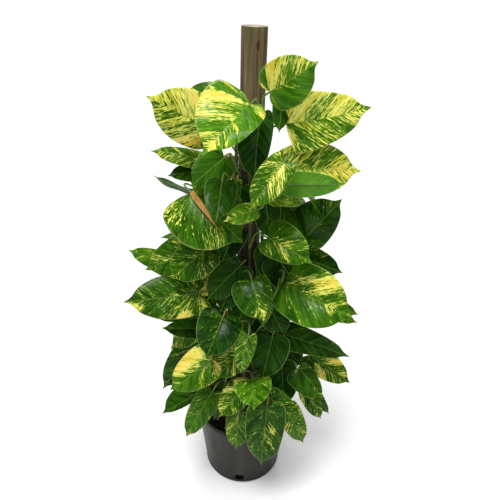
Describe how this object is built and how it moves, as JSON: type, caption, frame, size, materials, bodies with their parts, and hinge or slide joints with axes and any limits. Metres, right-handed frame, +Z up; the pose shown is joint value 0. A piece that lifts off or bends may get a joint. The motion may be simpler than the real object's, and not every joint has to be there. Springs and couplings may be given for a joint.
{
  "type": "potted golden pothos",
  "caption": "Variegated pothos climbing a round wooden post in a black nursery pot, with heart-shaped leaves on winding stems.",
  "frame": {"origin": "middle of the pot's foot, on the surface that the pot stands on", "axes": "+Z up along the post, -Y to the front, +X to the right seen from the front"},
  "size_m": [0.5794, 0.4324, 1.2181],
  "materials": {
    "pot_plastic": "satin black, moulded",
    "soil": "damp dark potting mix",
    "post_wood": "weathered, unpainted",
    "leaf": "waxy green, marbled yellow"
  },
  "bodies": {
    "root": {"pot": "pot_plastic", "soil": "soil", "post": "post_wood", "vine_front": "leaf", "vine_front_right": "leaf", "vine_right": "leaf", "vine_back_right": "leaf", "vine_back": "leaf", "vine_back_left": "leaf", "vine_left": "leaf", "vine_front_left": "leaf"}
  },
  "joints": []
}
